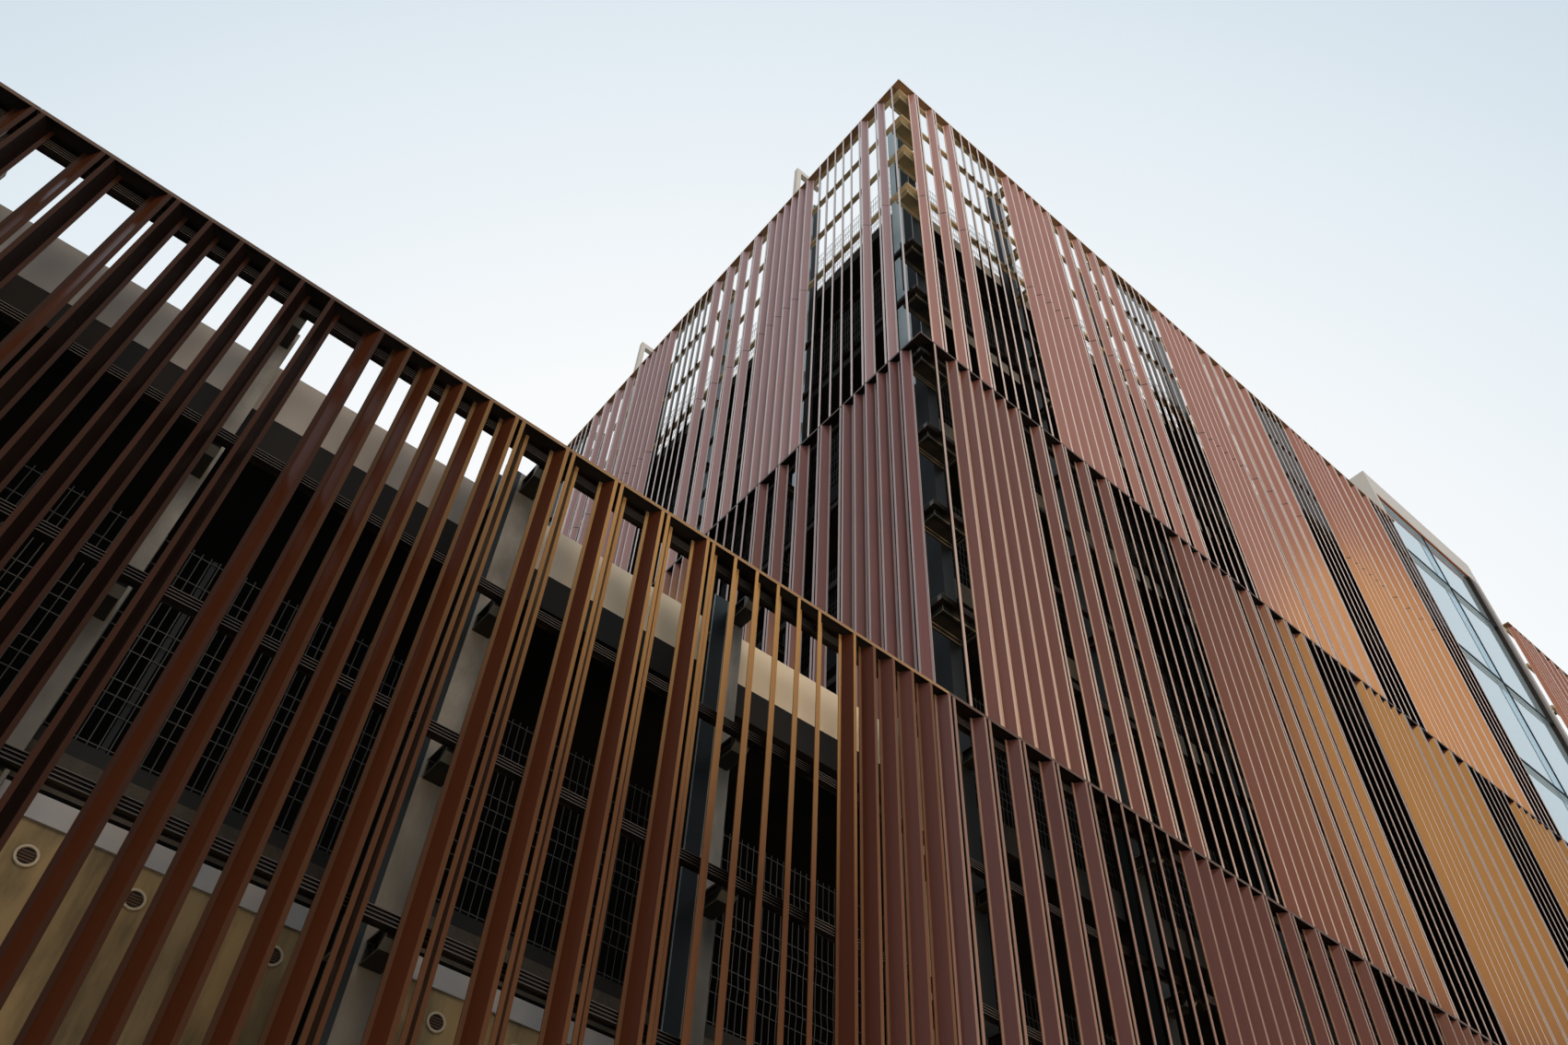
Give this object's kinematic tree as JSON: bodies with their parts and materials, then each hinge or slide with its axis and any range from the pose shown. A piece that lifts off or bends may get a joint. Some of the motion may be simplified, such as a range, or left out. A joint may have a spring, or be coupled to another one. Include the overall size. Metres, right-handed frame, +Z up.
{
  "type": "multi storey car park",
  "caption": "Multi storey car park with open decks behind a screen of upright folded metal fins, a lower wing and a glazed stair tower.",
  "frame": {"origin": "centre of the plan at ground level", "axes": "+X along the front towards the stair tower, +Y into the building, +Z up"},
  "size_m": [36.3, 11.88, 26],
  "materials": {
    "fin_metal": "matt mauve-brown coating on folded sheet",
    "shelf_metal": "matt coating, paler front edge",
    "rail_steel": "dark grey coating",
    "post_steel": "blue-grey coating",
    "column_concrete": "fair-faced grey concrete",
    "deck_concrete": "smooth grey concrete",
    "cream_render": "smooth cream render",
    "dark_metal": "dark brown coating",
    "guard_metal": "pale grey coating",
    "pale_plastic": "matt off-white",
    "flashing_metal": "dull grey sheet",
    "pale_glass": "pale blue glass"
  },
  "bodies": {
    "root": {"wing_fins": "fin_metal", "lower_fins": "fin_metal", "middle_fins": "fin_metal", "top_fins": "fin_metal", "side_middle_fins": "fin_metal", "side_top_fins": "fin_metal", "far_fins": "fin_metal", "front_shelves": "shelf_metal", "side_shelves": "shelf_metal", "wing_rails": "rail_steel", "front_rails": "rail_steel", "side_rails": "rail_steel", "far_rails": "rail_steel", "rail_brackets": "rail_steel", "wing_columns": "column_concrete", "tall_columns": "column_concrete", "back_columns": "column_concrete", "deck_1": "deck_concrete", "deck_2": "deck_concrete", "deck_3": "deck_concrete", "deck_4": "deck_concrete", "deck_5": "deck_concrete", "deck_6": "deck_concrete", "deck_kerbs": "deck_concrete", "wing_parapet": "cream_render", "edge_beam": "dark_metal", "wing_guard": "guard_metal", "front_guards": "guard_metal", "side_guards": "guard_metal", "back_parapets": "cream_render", "ground_wall": "cream_render", "wall_vents": "pale_plastic", "wall_flashing": "flashing_metal", "tower_left_wall": "cream_render", "tower_right_wall": "cream_render", "tower_back_wall": "cream_render", "tower_roof": "cream_render", "tower_glass": "pale_glass", "tower_bars": "dark_metal", "back_slats": "fin_metal", "end_slats": "fin_metal", "rear_rails": "rail_steel", "steel_posts": "post_steel", "roof_posts": "post_steel"}
  },
  "joints": []
}
